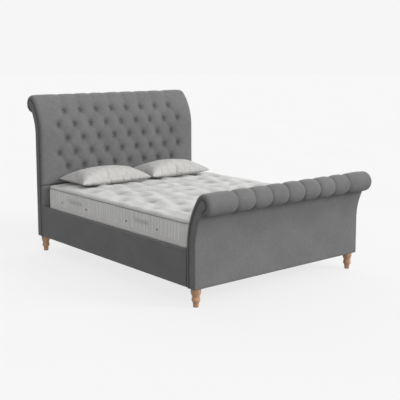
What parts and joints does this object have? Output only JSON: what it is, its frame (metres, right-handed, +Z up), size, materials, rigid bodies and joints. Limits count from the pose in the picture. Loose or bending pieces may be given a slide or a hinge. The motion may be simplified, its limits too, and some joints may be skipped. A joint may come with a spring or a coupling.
{
  "type": "sleigh bed",
  "caption": "Upholstered sleigh bed with a buttoned scroll headboard, fluted roll footboard, side rails, sprung slats, mattress and pillows.",
  "frame": {"origin": "on the floor, under the middle of the bed's plan", "axes": "+Z up, +Y towards the head end, +X to the right seen from the foot end"},
  "size_m": [1.68, 2.5299, 1.369],
  "materials": {
    "felt": "pressed felt",
    "foam": "open-cell foam",
    "frame_timber": "sawn softwood",
    "glide_plastic": "moulded",
    "holder_plastic": "moulded",
    "mattress_border_cloth": "stitched ribs",
    "mattress_cloth": "stitched damask",
    "mattress_filling": "felted fibre",
    "mattress_tape": "woven tape",
    "oak": "satin natural oak",
    "pillow_cotton": "plain cotton",
    "plywood": "sanded plywood",
    "roll_board_tube": "wound paper board",
    "slat_wood": "laminated beech, clear varnish",
    "steel": "zinc plated",
    "tuft_felt": "felt",
    "upholstery": "woven wool blend",
    "upholstery_button": "woven wool blend",
    "upholstery_piping": "woven wool blend",
    "vent_metal": "dark nickel plated"
  },
  "bodies": {
    "bed_frame": {"bracket_screws": "steel", "centre_legs": "frame_timber", "centre_rail": "frame_timber", "centre_rail_shoes": "steel", "corner_brackets": "steel", "foot_felts": "felt", "foot_inserts": "steel", "foot_plates": "steel", "foot_studs": "steel", "footboard_cross_rails": "frame_timber", "footboard_facings": "upholstery", "footboard_fluted_pad": "upholstery", "footboard_outer_panel": "upholstery", "footboard_piping": "upholstery_piping", "footboard_plywood": "plywood", "footboard_posts": "frame_timber", "footboard_ribs": "frame_timber", "footboard_roll_tube": "roll_board_tube", "headboard_buttoned_pad": "upholstery", "headboard_buttons": "upholstery_button", "headboard_cross_rails": "frame_timber", "headboard_facings": "upholstery", "headboard_lower_pad": "upholstery", "headboard_outer_panel": "upholstery", "headboard_piping": "upholstery_piping", "headboard_plywood": "plywood", "headboard_posts": "frame_timber", "headboard_ribs": "frame_timber", "headboard_roll_tube": "roll_board_tube", "leg_foot_end_left": "oak", "leg_foot_end_right": "oak", "leg_head_end_left": "oak", "leg_head_end_right": "oak", "rail_board_left": "frame_timber", "rail_board_right": "frame_timber", "rail_bolts": "steel", "rail_cover_left": "upholstery", "rail_cover_right": "upholstery", "rail_foam_left": "foam", "rail_foam_right": "foam", "slat_holders_centre": "holder_plastic", "slat_holders_outer": "holder_plastic", "slat_ledge_left": "frame_timber", "slat_ledge_right": "frame_timber", "sprung_slats_left": "slat_wood", "sprung_slats_right": "slat_wood"},
    "mattress": {"mattress_base_panel": "mattress_cloth", "mattress_border": "mattress_border_cloth", "mattress_handles": "mattress_tape", "mattress_lower_filling": "mattress_filling", "mattress_piping": "mattress_tape", "mattress_quilted_top": "mattress_cloth", "mattress_spring_unit": "mattress_filling", "mattress_tufts": "tuft_felt", "mattress_upper_filling": "mattress_filling", "mattress_vents": "vent_metal"},
    "left_pillow": {"pillow_left": "pillow_cotton"},
    "right_pillow": {"pillow_right": "pillow_cotton"},
    "front_glide": {"levelling_glide_front": "glide_plastic"},
    "rear_glide": {"levelling_glide_rear": "glide_plastic"}
  },
  "joints": [
    {"name": "mattress_lift", "type": "slide", "parent": "bed_frame", "child": "mattress", "axis": [0, 0, 1], "range_m": [0, 0.5]},
    {"name": "left_pillow_lift", "type": "slide", "parent": "mattress", "child": "left_pillow", "axis": [0, 0, 1], "range_m": [0, 0.35]},
    {"name": "right_pillow_lift", "type": "slide", "parent": "mattress", "child": "right_pillow", "axis": [0, 0, 1], "range_m": [0, 0.35]},
    {"name": "front_glide_height", "type": "slide", "parent": "bed_frame", "child": "front_glide", "axis": [0, 0, 1], "range_m": [-0.01, 0.01]},
    {"name": "rear_glide_height", "type": "slide", "parent": "bed_frame", "child": "rear_glide", "axis": [0, 0, 1], "range_m": [-0.01, 0.01]}
  ]
}
